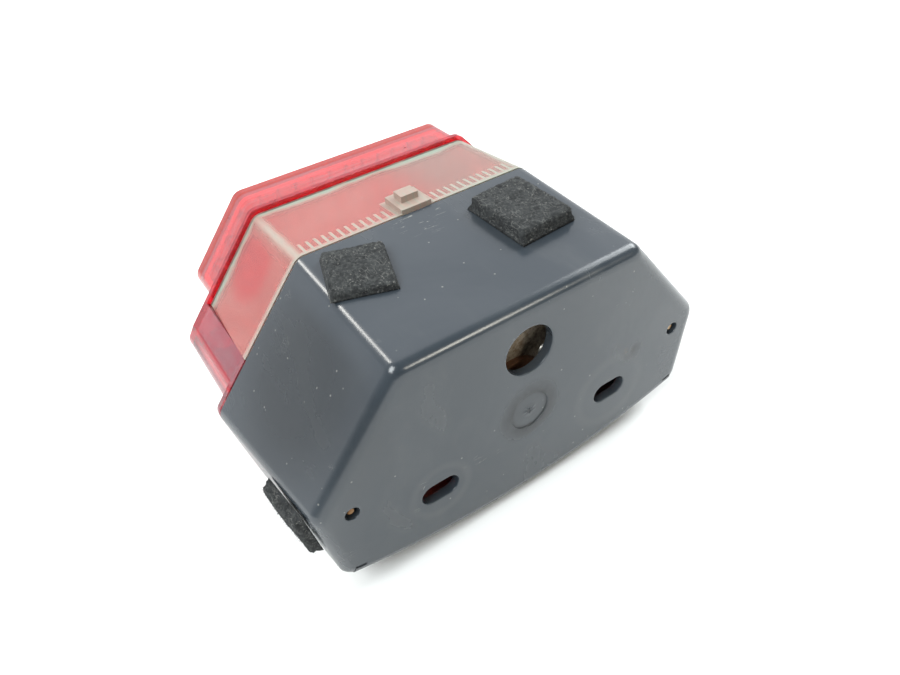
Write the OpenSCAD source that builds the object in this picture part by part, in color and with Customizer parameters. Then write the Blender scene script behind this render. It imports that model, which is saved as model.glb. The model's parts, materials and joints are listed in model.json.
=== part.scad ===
// Motorcycle tail light with a number-plate window.
// Frame: the mounting face lies in the plane y = 0 and looks along +Y, the lens looks along -Y.
// +Z is up, with the plate window on top, and the lamp is symmetric across x = 0.
// The origin is midway between the two mounting slots, on the mounting face.

/* [Case outline at the mounting face] */
// Length of the short top edge
top_edge_w = 61.6; // [56:0.1:76]
// Width over the two widest corners
case_w = 107.6; // [104:0.1:130]
// Length of the bottom edge, corner to corner
low_edge_w = 101.2; // [90:0.1:122]
// Height of the top edge above the slots
top_z = 39.9; // [36:0.1:48]
// Height of the widest corners above the slots
widest_z = 11.6; // [9:0.1:15]
// Depth of the bottom corners below the slots
low_drop = 11.4; // [10:0.1:16]
// Rise of the crowned bottom edge, middle against corners
crown = 6.7; // [3:0.1:9]
// Radius of the case's long corners
corner_r = 3.5; // [2:0.1:5]
// Radius of the edge round the mounting face
edge_r = 2.4; // [0.5:0.1:3]

/* [Case depth and walls] */
// Depth of the case from mounting face to rim
case_depth = 41.2; // [36:0.1:55]
// How far the top edge has risen at the rim
top_draft = 2.7; // [1:0.1:4]
// How far each widest corner has moved out at the rim
side_draft = 4.4; // [2:0.1:6]
// How far each bottom corner has moved out at the rim
low_side_draft = 3.3; // [1:0.1:5]
// How far the bottom has dropped at the rim
low_draft = 1.8; // [1:0.1:4]
// Thickness of the side walls
wall = 2.5; // [2:0.1:3.5]
// Thickness of the wall that carries the mounting face
back_wall = 2.5; // [2:0.1:4]
// Wall left at the rim, outside the seat for the lens
rim_wall = 1.3; // [1:0.1:1.6]
// Depth of the seat inside the rim
rim_seat = 3; // [2.5:0.1:5]

/* [Mounting face] */
// Distance between the two mounting slots
slot_pitch = 50; // [46:0.5:56]
// Width of a mounting slot
slot_w = 5.5; // [4.3:0.1:6.6]
// Length of a mounting slot, end to end
slot_len = 9.6; // [8:0.1:11]
// Diameter of the cable hole
cable_d = 12.4; // [8:0.1:14]
// Height of the cable hole above the slots
cable_z = 27.2; // [25:0.1:29]
// Diameter of the moulding gate's shallow disc
gate_d = 10.2; // [6:0.1:11]
// Height of the gate's disc above the slots
gate_z = 9.1; // [6:0.1:12]

/* [Lens] */
// Thickness of the lens skin
lens_wall = 2.2; // [1.8:0.1:3]
// Thickness of the lens front
lens_front = 2.8; // [2:0.1:4]
// Distance from the rim to the ledge where the raised front starts
ledge_out = 28.8; // [26:0.1:40]
// Height of the raised front above the ledge
raise = 12.4; // [8:0.1:18]
// Thickness of the ledge
ledge_t = 1.5; // [1.2:0.1:2]
// Step in from the rim to the lens side
lens_step = 2.8; // [2:0.1:4]
// Step down from the rim to the top of the lens
lens_drop = 0.7; // [0.3:0.1:1.5]
// Width of the bevel on the lens's widest corners
bevel_w = 2.3; // [1:0.1:3]
// Height of the same bevel
bevel_h = 3.5; // [2:0.1:5]
// Width of the ledge beside the raised front
ledge_w = 9.1; // [7:0.1:12]
// Step down from the lens top to the raised front
raise_drop = 0.8; // [0.4:0.1:2]
// Thickness of the rim flange of the lens
flange_t = 1.5; // [1:0.1:2.5]
// Thickness of the lens tongue that enters the rim
tongue_t = 0.9; // [0.7:0.1:1]

/* [Plate window] */
// Thickness of the window
window_t = 2; // [1.5:0.1:2.5]
// Half the width over the window's two lower edges
window_half_w = 48.5; // [42:0.1:50]
// How far the window's front edge lies below the lens top
window_sink = 1.2; // [0.6:0.1:1.6]
// Width of the moulded lug
lug_w = 8; // [5:0.1:12]
// Pitch of the prism ribs
rib_pitch = 1.95; // [1.6:0.05:3]
// Length of a prism rib
rib_len = 4; // [2:0.1:6]

/* [Fasteners and seals] */
// Shank diameter of the two lens screws
screw_d = 3.24; // [3:0.02:3.6]
// Distance of a lens screw from the case's widest corner
screw_in = 8.3; // [8:0.1:9.5]
// Drop of a lens screw below the widest corner
screw_drop = 2.75; // [0:0.1:4]
// Head diameter of a lens screw
screw_head_d = 6.8; // [6:0.1:7.4]
// Head height of a lens screw
screw_head_h = 2.4; // [2:0.1:3]
// Thickness of the washer under each lens screw head
washer_t = 0.8; // [0.5:0.1:1.5]
// Height of the soft ring between lens and case
gasket_t = 1; // [0.6:0.1:1.5]
// Thread diameter of the carrier plate's screws
plate_screw_d = 2.9; // [2.5:0.1:3.2]

/* [Bulb and holder] */
// Thickness of the steel carrier plate
plate_t = 1; // [0.8:0.1:1.5]
// Gap between the back wall and the carrier plate
plate_gap = 4; // [3.6:0.1:6]
// Width of the carrier plate
plate_w = 34; // [30:0.5:38]
// Bore of the bayonet shell
shell_bore = 15.3; // [15.2:0.02:15.4]
// Sheet thickness of the bayonet shell
shell_t = 0.5; // [0.4:0.05:0.8]
// Length of the bayonet shell in front of the plate
shell_len = 24.5; // [24.5:0.1:27]
// Diameter of the bulb cap
cap_d = 15; // [14.9:0.02:15.1]
// Diameter of the glass envelope
glass_d = 25; // [22:0.1:26.5]
// Overall length of the bulb
bulb_len = 52.5; // [48:0.1:54]
// How far the bulb can be pushed in against its contacts
push_travel = 2; // [1.5:0.1:2.2]
// How far the bulb turns from its seat to the open slot
twist_deg = 25; // [15:1:40]

/* [Foam pads] */
// Length of the larger top pad
pad_len = 18.7; // [12:0.1:22]
// Width of the larger top pad
pad_w = 15; // [8:0.1:18]
// Thickness of the larger top pad
pad_t = 3.4; // [2:0.1:6]
// Length of the smaller pads, along the lamp
small_pad_len = 14.2; // [8:0.1:20]
// Width of the smaller top pad
small_pad_w = 14; // [8:0.1:18]
// Width of the side pads, down the lower side faces
side_pad_w = 12; // [6:0.1:14]
// Thickness of the smaller pads
small_pad_t = 2.6; // [1:0.1:5]

/* [Hidden] */
$fn = 48;
arc_steps = 20;          // straight pieces that make up the crowned edge
eps = 0.01;
part_gap = 0.3;          // gap between lens parts and the case
seam = 0.1;              // glue seam between window and lens
fit = 0.06;              // radial running clearance
slant = (top_z + top_draft - widest_z) / (case_w / 2 + side_draft - top_edge_w / 2);

// Case outline at depth y: right-hand corners from the top edge down, then the crown
function share(y) = -y / case_depth;
function case_corners(y) = [
    [top_edge_w / 2, top_z + top_draft * share(y)],
    [case_w / 2 + side_draft * share(y), widest_z],
    [low_edge_w / 2 + low_side_draft * share(y), -low_drop - low_draft * share(y)]];
rim = case_corners(-case_depth);

// Lens outline: the rim stepped in, with a bevel at its widest corners
lens_top = [rim[0].x, rim[0].y - lens_drop];
lens_wide_x = rim[1].x - lens_step;
bevel_top = [lens_wide_x - bevel_w, lens_top.y - slant * (lens_wide_x - bevel_w - lens_top.x)];
lens_corners = [lens_top, bevel_top, [lens_wide_x, bevel_top.y - bevel_h],
                [rim[2].x - lens_step, rim[2].y + lens_step / 2]];
// Raised front: the same top and slanted sides, stepped in below
raised_top = [lens_top.x - raise_drop, lens_top.y - raise_drop];
raised_wide_x = lens_wide_x - ledge_w;
raised_corners = [raised_top,
                  [raised_wide_x, raised_top.y - slant * (raised_wide_x - raised_top.x)],
                  [lens_corners[3].x - ledge_w, lens_corners[3].y + ledge_w]];
// Window outline at its front edge
window_corners = [[lens_top.x - part_gap, lens_top.y - window_sink],
                  [lens_wide_x, lens_top.y - window_sink - slant * (lens_wide_x - lens_top.x + part_gap)],
                  lens_corners[3]];

// Stations along the lamp's depth
lens_back_y = -case_depth - part_gap;
ledge_y = -case_depth - ledge_out;
front_y = ledge_y - raise;
seat_y = -case_depth + rim_seat;
tongue_y = seat_y - gasket_t;

// Lens screws
screw_x = case_w / 2 - screw_in;
screw_z = widest_z - screw_drop;
screw_boss_r = 4;
well_r = screw_head_d / 2 + 1.2;
well_wall = 1.5;
well_floor = 2.5;
head_y = lens_back_y - well_floor - washer_t;

// Carrier plate and socket
plate_y = -back_wall - plate_gap;
plate_front_y = plate_y - plate_t;
plate_top = top_z - wall - 1;
plate_low = -13;
plate_boss = [plate_w / 2 - 4, 3];
plate_holes = [[plate_boss.x, plate_top - plate_boss.y], [plate_boss.x, plate_low + plate_boss.y + 1]];
bulb_z = 11;
shell_r = shell_bore / 2;
flange_r = shell_r + 6.5;
flange_thick = 0.8;
rivet_ring = shell_r + 4;
rivet_angles = [35, 145, 270];
tab_t = 0.8;                             // thickness of the spade terminals
tab_w = 6.3;                             // width of the spade terminals
block_flange_r = shell_r + 1.4;
block_flange_t = 1.4;
contact_x = 3.4;
contact_y = plate_front_y - 10.5;        // face of the plungers, where the bulb rests
block_front_y = contact_y + push_travel + 0.7;
plunger_r = 1.7;
plunger_len = 6;
pin_r = 1;
pin_play = 0.15;
pin_reach = 1.38;
pin_seat = 0.01;                         // clearance of a pin in its hole in the cap
pin_low_y = contact_y - 8;
pin_step = 3;
cap_r = cap_d / 2;
cap_len = 19;
cap_sheet = 0.35;
glass_wall = 0.7;
tip_y = contact_y - bulb_len;
glass_centre_y = tip_y + glass_d / 2;
filament_y = glass_centre_y - 0.5;

// ---- helpers -------------------------------------------------------------

// Point list of an outline, closed by the crowned bottom edge
function crown_z(low, rise, x) =
    let (r = (low.x * low.x + rise * rise) / (2 * rise)) low.y - rise + r - sqrt(r * r - x * x);
function outline_points(c, rise) = let (n = len(c), low = c[n - 1]) concat(
    c,
    [for (i = [1 : arc_steps - 1]) let (x = low.x * (1 - 2 * i / arc_steps)) [x, crown_z(low, rise, x)]],
    [for (i = [n - 1 : -1 : 0]) [-c[i].x, c[i].y]]);

module outline(c, inset = 0, r = corner_r, rise = crown) {
    offset(r = r, $fn = 32) offset(delta = -inset - r) polygon(outline_points(c, rise));
}
// Extrudes a flat outline from depth y0 forward to y1
module between(y0, y1) {
    translate([0, y0, 0]) rotate([90, 0, 0]) linear_extrude(y0 - y1) children();
}
module slice(y, c, inset, r = corner_r) { between(y, y - eps) outline(c, inset, r); }
// Drafted block of the case between two depths
module case_block(y0, y1, inset, r = corner_r) {
    hull() {
        slice(y0, case_corners(y0), inset, r);
        slice(y1 + eps, case_corners(y1), inset, r);
    }
}
// Round rod along the lamp's depth
module rod(x, z, y0, y1, r, r_end = -1) {
    translate([x, y0, z]) rotate([90, 0, 0]) cylinder(h = y0 - y1, r1 = r, r2 = r_end < 0 ? r : r_end);
}
module both_sides() { for (s = [-1, 1]) scale_x(s) children(); }
module scale_x(s) { if (s < 0) mirror([1, 0, 0]) children(); else children(); }
// Flat region taken by the window: everything above its two lower edges
module window_region(grow = 0) {
    n = [slant, 1] / norm([slant, 1]);
    along = [n.y, -n.x];
    edge = [window_half_w, rim[0].y - slant * (window_half_w - rim[0].x)] + along * grow;
    inner = edge - n * 9;
    outer = edge + n * 12;
    polygon([inner, outer, [outer.x, rim[0].y + 9], [-outer.x, rim[0].y + 9],
             [-outer.x, outer.y], [-inner.x, inner.y]]);
}

// ---- case ----------------------------------------------------------------

module slot(y0, y1) {
    half = (slot_len - slot_w) / 2;
    for (s = [-1, 1]) rod(s * half, 0, y0, y1, slot_w / 2);
    translate([-half, y1, -slot_w / 2]) cube([2 * half, y0 - y1, slot_w]);
}

module housing() color([0.13, 0.14, 0.15]) difference() {
    union() {
        difference() {
            hull() {
                for (a = [0 : 30 : 90])
                    slice(-edge_r * (1 - cos(a)), case_corners(0), edge_r * (1 - sin(a)));
                slice(-case_depth + eps, rim, 0);
            }
            case_block(-back_wall, -case_depth - 1, wall, corner_r - 1);
            case_block(seat_y, -case_depth - 1, rim_wall, corner_r - 1);
        }
        intersection() {
            case_block(-back_wall + 0.5, -case_depth, wall - 0.5, corner_r - 1);
            union() {
                both_sides() {
                    rod(screw_x, screw_z, -back_wall + 0.5, -case_depth, screw_boss_r);
                    translate([screw_x, seat_y, screw_z - 1])
                        cube([2 * wall + side_draft + screw_in, -seat_y, 2]);
                    for (h = plate_holes) rod(h.x, h.y, -back_wall + 0.5, plate_y, plate_boss.y);
                }
            }
        }
    }
    both_sides() {
        rod(screw_x, screw_z, 1, -case_depth - 1, screw_d / 2 + fit);
        translate([slot_pitch / 2, 0, 0]) slot(1, -back_wall - 1);
        for (h = plate_holes) rod(h.x, h.y, -back_wall, plate_y - 1, plate_screw_d / 2 + fit / 2);
    }
    rod(0, cable_z, 1, -back_wall - 1, cable_d / 2);
    difference() {
        rod(0, gate_z, 1, -0.3, gate_d / 2);
        rod(0, gate_z, 1, -0.4, 0.9);
    }
    translate([-3, -case_depth - 1, rim[0].y - wall - 1]) cube([6, 1.4, wall + 2]);
}

// ---- lens, window and their seals ------------------------------------------

module well_circles(r) { for (s = [-1, 1]) translate([s * screw_x, screw_z]) circle(r); }

module lens() color([0.85, 0.05, 0.08, 0.6]) difference() {
    union() {
        difference() {
            union() {
                between(lens_back_y, ledge_y) difference() {
                    outline(lens_corners);
                    outline(lens_corners, lens_wall);
                }
                between(lens_back_y, lens_back_y - flange_t) difference() {
                    outline(rim);
                    outline(lens_corners, lens_wall);
                }
                between(tongue_y, lens_back_y - flange_t) difference() {
                    outline(rim, rim_wall + part_gap, corner_r - 1);
                    outline(rim, rim_wall + part_gap + tongue_t, corner_r - 1);
                }
            }
            between(tongue_y + 1, ledge_y + ledge_t) window_region();
        }
        between(ledge_y + ledge_t, ledge_y) difference() {
            outline(lens_corners);
            outline(raised_corners, lens_wall);
        }
        between(ledge_y + eps, front_y) difference() {
            outline(raised_corners);
            outline(raised_corners, lens_wall);
        }
        between(front_y + lens_front, front_y) outline(raised_corners);
        between(lens_back_y, ledge_y) well_circles(well_r + well_wall);
        between(ledge_y + eps, front_y) intersection() {
            outline(raised_corners);
            well_circles(well_r + well_wall);
        }
    }
    both_sides() {
        rod(screw_x, screw_z, lens_back_y - well_floor, front_y - 1, well_r);
        rod(screw_x, screw_z, lens_back_y + 1, front_y, screw_d / 2 + 0.3);
    }
}

module window_block(inset) {
    hull() {
        slice(lens_back_y, rim, inset);
        slice(ledge_y + ledge_t + seam + eps, window_corners, inset);
    }
}

module plate_window() color([0.95, 0.9, 0.88, 0.5]) {
    rib_rows = floor((window_corners[0].x - 1 - lug_w / 2) / rib_pitch);
    union() {
        intersection() {
            difference() { window_block(0); window_block(window_t); }
            between(0, ledge_y) window_region(-seam);
        }
        between(tongue_y, lens_back_y - 1.5) intersection() {
            difference() {
                outline(rim, rim_wall + part_gap, corner_r - 1);
                outline(rim, rim_wall + part_gap + tongue_t, corner_r - 1);
            }
            window_region(-seam);
        }
        // lug: a low block between two cheeks, with a raised catch
        translate([-lug_w / 2, lens_back_y - 8, rim[0].y - 1.5]) cube([lug_w, 8, 2.5]);
        translate([-lug_w / 4 - 0.3, lens_back_y - 6.5, rim[0].y]) cube([lug_w / 2 + 0.6, 3.6, 2.6]);
        // prism ribs inside the rear edge
        both_sides() for (i = [0 : rib_rows - 1])
            translate([lug_w / 2 + 1 + i * rib_pitch, lens_back_y - 1 - rib_len,
                       rim[0].y - window_t - 0.7]) cube([0.9, rib_len, 0.9]);
    }
}

module lens_gasket() color([0.08, 0.08, 0.08]) between(seat_y, tongue_y) difference() {
    outline(case_corners(seat_y), rim_wall + part_gap, corner_r - 1);
    outline(case_corners(seat_y), wall, corner_r - 1);
}

module lens_screw(s) color([0.6, 0.52, 0.36]) difference() {
    union() {
        rod(s * screw_x, screw_z, head_y, head_y - screw_head_h, screw_head_d / 2, screw_head_d / 2 - 0.5);
        rod(s * screw_x, screw_z, -3, head_y, screw_d / 2);
        rod(s * screw_x, screw_z, -0.8, -3, 0.7, screw_d / 2);
    }
    for (a = [0, 90]) translate([s * screw_x, head_y - screw_head_h, screw_z]) rotate([0, a, 0])
        translate([-2, -0.1, -0.4]) cube([4, 1.4, 0.8]);
}
module lens_screw_left() lens_screw(1);
module lens_screw_right() lens_screw(-1);

module screw_washer(s) color([0.12, 0.12, 0.12]) difference() {
    rod(s * screw_x, screw_z, head_y + washer_t, head_y, screw_head_d / 2 + 0.3);
    rod(s * screw_x, screw_z, head_y + washer_t + 1, head_y - 1, screw_d / 2 + fit);
}
module screw_washer_left() screw_washer(1);
module screw_washer_right() screw_washer(-1);

// ---- carrier plate and socket ------------------------------------------------

module at_bulb() { translate([0, 0, bulb_z]) children(); }
module at_rivet(a) { translate([rivet_ring * cos(a), 0, rivet_ring * sin(a)]) children(); }
module at_rivets() { for (a = rivet_angles) at_rivet(a) children(); }
rivet_r = 1.2;
rivet_head_r = 2;

module bulb_plate() color([0.5, 0.38, 0.27]) difference() {
    union() {
        translate([-plate_w / 2, plate_front_y, plate_low]) cube([plate_w, plate_t, plate_top - plate_low]);
        // stiffening lips along both long edges
        for (s = [-1, 1]) translate([s * (plate_w / 2 - 0.5) - 0.5, plate_front_y - 2.5, plate_low + 8])
            cube([1, 2.5 + eps, plate_top - plate_low - 16]);
    }
    both_sides() for (h = plate_holes) rod(h.x, h.y, plate_y + 1, plate_front_y - 1, plate_screw_d / 2 + 0.2);
    at_bulb() {
        rod(0, 0, plate_y + 1, plate_front_y - 1, shell_r);
        at_rivets() rod(0, 0, plate_y + 1, plate_front_y - 1, rivet_r + fit);
    }
}

module plate_screws() color([0.72, 0.7, 0.66]) both_sides() for (h = plate_holes) difference() {
    union() {
        rod(h.x, h.y, plate_front_y, plate_front_y - 1.8, 2.7, 2.2);
        rod(h.x, h.y, -back_wall - 0.3, plate_front_y, plate_screw_d / 2);
    }
    translate([h.x - 1.6, plate_front_y - 2.8, h.y - 0.35]) cube([3.2, 2, 0.7]);
}

// J slot for one pin: a wide leg round the shell, then an axial way out
module j_slot(side, pin_y) {
    half_deg = (pin_r + pin_play) / (shell_r + shell_t / 2) * 180 / PI;
    leg_h = 2 * (pin_r + pin_play) + push_travel;
    translate([0, pin_y + push_travel + pin_r + pin_play, 0]) rotate([90, 0, 0])
        rotate([0, 0, side - half_deg]) rotate_extrude(angle = twist_deg + 2 * half_deg)
            translate([shell_r - 1, 0]) square([shell_t + 2, leg_h]);
    rotate([0, -side - twist_deg, 0]) translate([shell_r - 1, plate_front_y - shell_len - 1, -pin_r - pin_play])
        cube([shell_t + 2, pin_y + push_travel - plate_front_y + shell_len + 1, 2 * (pin_r + pin_play)]);
}

module socket_shell() color([0.75, 0.68, 0.45]) at_bulb() difference() {
    union() {
        rod(0, 0, plate_front_y, plate_front_y - shell_len, shell_r + shell_t);
        rod(0, 0, plate_front_y, plate_front_y - flange_thick, flange_r);
    }
    rod(0, 0, plate_front_y + 1, plate_front_y - shell_len - 1, shell_r);
    at_rivets() rod(0, 0, plate_front_y + 1, plate_front_y - flange_thick - 1, rivet_r + fit);
    j_slot(90, pin_low_y);
    j_slot(270, pin_low_y - pin_step);
}

module rivet(y0, y1) {
    rod(0, 0, y0, y1, rivet_r);
    rod(0, 0, y0 + 0.7, y0, rivet_head_r - 0.4, rivet_head_r);
    rod(0, 0, y1, y1 - 0.7, rivet_head_r, rivet_head_r - 0.4);
}
// The lowest rivet also clamps the earth tab
module socket_rivets() color([0.7, 0.7, 0.68]) at_bulb() for (a = rivet_angles) at_rivet(a)
    rivet(plate_y + (a == 270 ? tab_t : 0), plate_front_y - flange_thick);

module socket_insulator() color([0.36, 0.2, 0.12]) at_bulb() difference() {
    union() {
        rod(0, 0, plate_y + block_flange_t, plate_y, block_flange_r);
        rod(0, 0, plate_y + eps, block_front_y, shell_r - fit);
    }
    for (s = [-1, 1]) {
        rod(s * contact_x, 0, plate_y + 0.5, block_front_y - 1, plunger_r + fit);
        rod(s * contact_x, 0, plate_y + block_flange_t + 1, plate_y, 0.9 + fit);
    }
}

module contact_plungers() color([0.8, 0.65, 0.3]) at_bulb() for (s = [-1, 1])
    rod(s * contact_x, 0, contact_y + plunger_len, contact_y, plunger_r);

spring_back_y = plate_y + 0.3;
spring_front_y = contact_y + plunger_len;
spring_wire = 0.22;
spring_turns = 5;
spring_steps = 10;
// Ring of points round the coil's centre line at step i
function spring_ring(i, r) = let (
    n = spring_turns * spring_steps,
    a = 360 * i / spring_steps,
    y = spring_back_y - spring_wire + (spring_front_y - spring_back_y + 2 * spring_wire) * i / n)
    [for (k = [0 : 5]) let (b = 60 * k, q = r + spring_wire * cos(b))
        [q * cos(a), y + spring_wire * sin(b), q * sin(a)]];
module coil(r) {
    n = spring_turns * spring_steps;
    pts = [for (i = [0 : n]) each spring_ring(i, r)];
    polyhedron(points = pts, faces = concat(
        [[for (k = [0 : 5]) k]],
        [for (i = [0 : n - 1], k = [0 : 5])
            [i * 6 + (k + 1) % 6, i * 6 + k, (i + 1) * 6 + k, (i + 1) * 6 + (k + 1) % 6]],
        [[for (k = [5 : -1 : 0]) n * 6 + k]]));
}
module contact_springs() color([0.75, 0.75, 0.75]) at_bulb()
    for (s = [-1, 1]) translate([s * contact_x, 0, 0]) coil(plunger_r - 0.35);

module terminal_tabs() color([0.82, 0.72, 0.4]) at_bulb() for (s = [-1, 1]) {
    back = plate_y + block_flange_t;
    difference() {
        translate([s > 0 ? contact_x - 2 : -contact_x - 11, back, -tab_w / 2]) cube([13, tab_t, tab_w]);
        rod(s * (contact_x + 8), 0, back + 2, back - 1, 0.9);
    }
    rod(s * contact_x, 0, back + eps, plate_y + 0.5, 0.9);
    rod(s * contact_x, 0, plate_y + 0.5, plate_y + 0.3, plunger_r - 0.1);
}

module earth_tab() color([0.8, 0.78, 0.72]) at_bulb() at_rivet(270) difference() {
    translate([-tab_w / 2, plate_y, -12]) cube([tab_w, tab_t, 14.4]);
    rod(0, 0, plate_y + 2, plate_y - 1, rivet_r + fit);
    rod(0, -9, plate_y + 2, plate_y - 1, 0.9);
}

// ---- bulb ------------------------------------------------------------------

module bulb_cap() color([0.82, 0.68, 0.36]) at_bulb() difference() {
    rod(0, 0, contact_y - 0.6, contact_y - cap_len, cap_r);
    rod(0, 0, contact_y - 1.1, contact_y - cap_len - 1, cap_r - cap_sheet);
    rod(0, 0, contact_y, contact_y - 3, cap_r - 1.2);
    at_bulb_pins(cap_r - 2) cylinder(h = 4, r = pin_r + pin_seat);
}
// Stands its children on the cap at both pins, radius from pointing out from the axis
module at_bulb_pins(radius) for (s = [-1, 1]) translate([0, pin_low_y - (s < 0 ? pin_step : 0), 0])
    rotate([0, s > 0 ? 0 : 180, 0]) translate([0, 0, radius]) children();
module bulb_pins() color([0.8, 0.7, 0.4]) at_bulb()
    at_bulb_pins(cap_r - cap_sheet) cylinder(h = cap_sheet + pin_reach, r = pin_r);
module cap_insulator() color([0.1, 0.09, 0.12]) at_bulb() difference() {
    rod(0, 0, contact_y - 0.5, contact_y - 3.5, cap_r - 1.2 - fit);
    for (s = [-1, 1]) rod(s * contact_x, 0, contact_y, contact_y - 1.2, 1.5);
}
module cap_contacts() color([0.75, 0.75, 0.78]) at_bulb()
    for (s = [-1, 1]) rod(s * contact_x, 0, contact_y - 0.02, contact_y - 1.2, 1.1, 1.5);

module glass_outline(inset) {
    r = glass_d / 2 - inset;
    neck = cap_r - cap_sheet - 0.15 - inset;
    shoulder = contact_y - cap_len - 3 - glass_centre_y;
    intersection() {
        union() {
            circle(r, $fn = 96);
            polygon([[0, -contact_y + 6 + inset + glass_centre_y], [neck, -contact_y + 6 + inset + glass_centre_y],
                     [neck, -shoulder], [r * cos(38), -r * sin(38)], [0, 0]]);
        }
        translate([0, -80]) square(160);
    }
}
module bulb_glass() color([0.9, 0.92, 0.95, 0.35]) translate([0, glass_centre_y, bulb_z]) rotate([90, 0, 0])
    rotate_extrude($fn = 64) difference() { glass_outline(0); glass_outline(glass_wall); }

stem_back_y = contact_y - 6 - glass_wall;
module bulb_stem() color([0.88, 0.9, 0.92, 0.5]) at_bulb() {
    rod(0, 0, stem_back_y - 0.05, stem_back_y - 10, 4.5, 2.8);
    translate([-3.6, stem_back_y - 18, -1.5]) cube([7.2, 8 + eps, 3]);
}
wire_x = 2.9;
module filament_supports() color([0.6, 0.6, 0.62]) at_bulb() for (s = [-1, 1], k = [-1, 1])
    rod(s * wire_x, k * 0.9, stem_back_y - 18, filament_y + (k > 0 ? 2.5 : 0) - 0.4, 0.25);
module filaments() color([0.35, 0.35, 0.36]) at_bulb() for (k = [-1, 1])
    translate([-wire_x + 0.25, filament_y + (k > 0 ? 2.5 : 0), k * 0.9]) rotate([0, 90, 0])
        cylinder(h = 2 * wire_x - 0.5, r = 0.35);

// ---- foam pads ---------------------------------------------------------------

pad_seat = 0.05;         // adhesive under a pad
module pad(w, len, t) { translate([-w / 2, -len / 2, pad_seat]) cube([w, len, t]); }
top_tilt = atan(top_draft / case_depth);
// Places a pad on the sloping top face at x, y, turned about the face's normal
module top_pad(x, y, turn) color([0.07, 0.07, 0.075])
    translate([x, y, top_z - y * tan(top_tilt)]) rotate([-top_tilt, 0, 0]) rotate([0, 0, turn]) children();
module foam_pad_top_left() top_pad(top_edge_w / 2 - 8, -28.2, -18) pad(small_pad_w, small_pad_len, small_pad_t);
module foam_pad_top_right() top_pad(-top_edge_w / 2 + 13.4, -25, 3.6) pad(pad_w, pad_len, pad_t);

// Places a pad on the lower side face, ruled between the lines of the widest and the bottom corners
function point(c, y) = [c.x, y, c.y];
module side_pad() color([0.07, 0.07, 0.075]) {
    y = -11;
    z = 4;
    wide = point(case_corners(y)[1], y);
    low = point(case_corners(y)[2], y);
    s = (wide.z - z) / (wide.z - low.z);
    down = (low - wide) / norm(low - wide);
    rimward = [side_draft * (1 - s) + low_side_draft * s, -case_depth, -low_draft * s];
    n = cross(rimward, down) / norm(cross(rimward, down));
    along = cross(down, n);
    // the face is slightly twisted, and bulges out from its ruled surface by a quarter of its twist
    bulge = abs([side_draft - low_side_draft, 0, low_draft] * n) / 4;
    at = wide + s * (low - wide) + bulge * n;
    multmatrix([[down.x, along.x, n.x, at.x], [down.y, along.y, n.y, at.y], [down.z, along.z, n.z, at.z]])
        pad(side_pad_w, small_pad_len, small_pad_t);
}
module foam_pad_side_left() side_pad();
module foam_pad_side_right() mirror([1, 0, 0]) side_pad();

// ---- all nodes -----------------------------------------------------------------

housing();
lens();
plate_window();
lens_gasket();
lens_screw_left();
lens_screw_right();
screw_washer_left();
screw_washer_right();
bulb_plate();
plate_screws();
socket_shell();
socket_rivets();
socket_insulator();
terminal_tabs();
earth_tab();
contact_plungers();
contact_springs();
bulb_cap();
bulb_pins();
cap_insulator();
cap_contacts();
bulb_glass();
bulb_stem();
filament_supports();
filaments();
foam_pad_top_left();
foam_pad_top_right();
foam_pad_side_left();
foam_pad_side_right();
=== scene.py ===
"""Looks of a motorcycle tail light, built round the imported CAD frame.

Mesh code works in millimetres and scales by MM at its end; masks about a point take radii in metres.
"""

import json
import math

import bmesh
import bpy
import numpy as np
from mathutils import Matrix, Vector, noise


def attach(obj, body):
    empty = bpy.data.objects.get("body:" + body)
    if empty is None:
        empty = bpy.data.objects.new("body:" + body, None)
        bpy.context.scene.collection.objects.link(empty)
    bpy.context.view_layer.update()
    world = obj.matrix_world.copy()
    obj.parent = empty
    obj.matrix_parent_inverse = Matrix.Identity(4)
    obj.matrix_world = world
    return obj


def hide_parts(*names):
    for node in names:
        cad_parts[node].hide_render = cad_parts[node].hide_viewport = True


MM = 0.001
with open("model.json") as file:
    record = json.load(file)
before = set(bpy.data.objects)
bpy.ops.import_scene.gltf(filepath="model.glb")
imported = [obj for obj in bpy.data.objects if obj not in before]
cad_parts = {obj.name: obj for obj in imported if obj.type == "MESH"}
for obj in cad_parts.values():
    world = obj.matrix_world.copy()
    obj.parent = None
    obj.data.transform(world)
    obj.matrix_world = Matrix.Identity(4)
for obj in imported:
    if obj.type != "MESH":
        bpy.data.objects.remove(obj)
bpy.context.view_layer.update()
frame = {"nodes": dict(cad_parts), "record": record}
scene = bpy.context.scene

# ---- sizes, the same as in the CAD source -------------------------------------

CROWN = 6.7                                                 # rise of the crowned bottom
CASE_DEPTH = 41.2
CASE_BACK = [(30.8, 39.9), (53.8, 11.6), (50.6, -11.4)]     # right-hand corners, as (x, z)
CASE_RIM = [(30.8, 42.6), (58.2, 11.6), (53.9, -13.2)]
RAISED = [(30.0, 41.1), (46.3, 22.7), (42.0, -2.7)]         # the lens's raised front
CORNER_R = 3.5
EDGE_R = 3.0
WALL = 2.5
RIM_WALL = 1.3
SEAT_Y = -38.2                                              # step inside the rim that the lens sits on
SCREW = (45.5, 8.85)                                        # x and z of the lens screws
SLOT_X = 25.0
SLOT_HALF, SLOT_R = 2.05, 2.75
SCREW_HOLE_R = 1.68
CABLE = (0.0, 27.2, 6.2)                                    # x, z and radius
GATE = (0.0, 9.1, 5.1)
GATE_DEPTH = 0.3
LENS_BACK_Y = -41.5
FRONT_Y = -82.4
FLOOR_Z = -19.95
OPTICS_PITCH = 5.0
OPTICS_RISE = 1.5
LENS_THICK = 3.05                                           # from the lens front to the optics
PLASTIC_IOR = 1.49
PLATE_POSTS = [(13, 33.4), (13, -9)]                        # right-hand posts of the carrier plate, as (x, z)
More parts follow.
